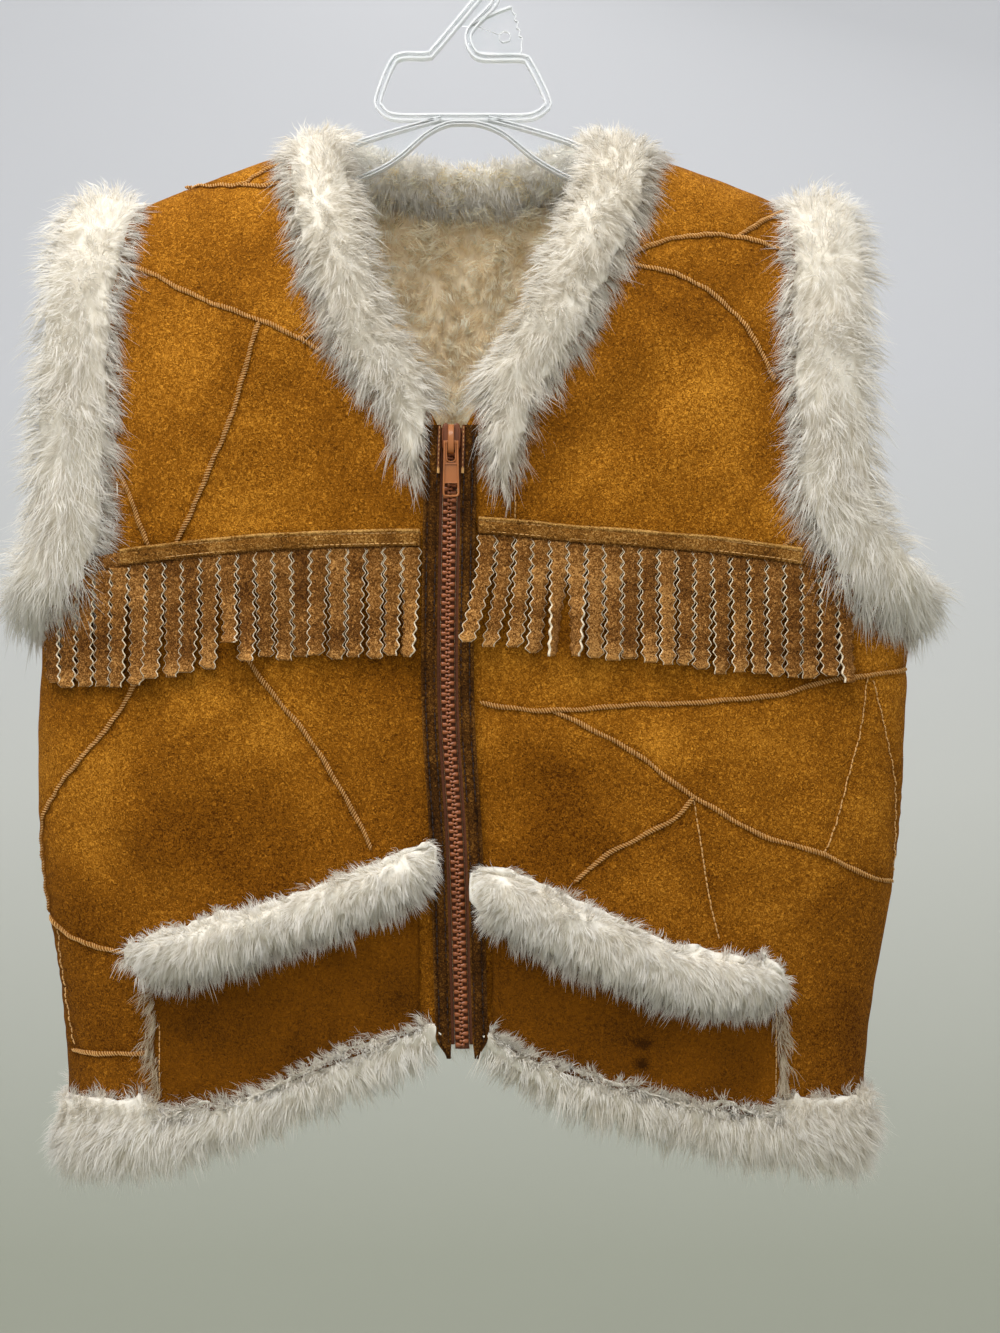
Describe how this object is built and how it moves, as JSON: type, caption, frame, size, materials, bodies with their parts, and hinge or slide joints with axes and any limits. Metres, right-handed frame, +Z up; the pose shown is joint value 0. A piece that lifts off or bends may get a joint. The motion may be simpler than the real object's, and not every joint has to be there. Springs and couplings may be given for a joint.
{
  "type": "shearling vest on a hanger",
  "caption": "Zipped patchwork suede vest with pile inside, fur at neck, armholes, pockets and hem, a fringe across each front, on a clear hanger.",
  "frame": {"origin": "inside of the top of the hanger's hook, where a rail holds it", "axes": "+Z up, -Y out of the vest's front, +X to the right of someone who looks at the front; left and right in the node names are that viewer's"},
  "size_m": [0.437, 0.1292, 0.5971],
  "materials": {
    "suede": "napped tan suede, pieced from patches",
    "fringe_suede": "pinker brown suede split",
    "trim_suede": "dark olive-brown suede",
    "fur": "white long-pile fur",
    "lining_pile": "clipped cream fleece",
    "zip_plastic": "reddish-brown moulded plastic",
    "zip_tape": "dark brown woven tape",
    "clear_plastic": "clear moulded styrene"
  },
  "bodies": {
    "vest": {"front_left": "suede", "front_right": "suede", "back": "suede", "pocket_left": "suede", "pocket_right": "suede", "fringe_left": "fringe_suede", "fringe_right": "fringe_suede", "binding_left": "fringe_suede", "binding_right": "fringe_suede", "placket_left": "trim_suede", "placket_right": "trim_suede", "zip_tape_left": "zip_tape", "zip_tape_right": "zip_tape", "zip_chain": "zip_plastic", "zip_slider": "zip_plastic", "collar_fur_left": "fur", "collar_fur_right": "fur", "collar_fur_back": "fur", "armhole_fur_left": "fur", "armhole_fur_right": "fur", "pocket_fur_left": "fur", "pocket_fur_right": "fur", "hem_fur_left": "fur", "hem_fur_right": "fur", "hem_fur_back": "fur", "hanger": "clear_plastic"},
    "pull": {"zip_pull": "zip_plastic"}
  },
  "joints": [
    {"name": "pull_swing", "type": "hinge", "parent": "vest", "child": "pull", "pos_m": [-0.0049, -0.0543, -0.2611], "axis": [-1, 0, 0], "range_deg": [0, 160]}
  ]
}
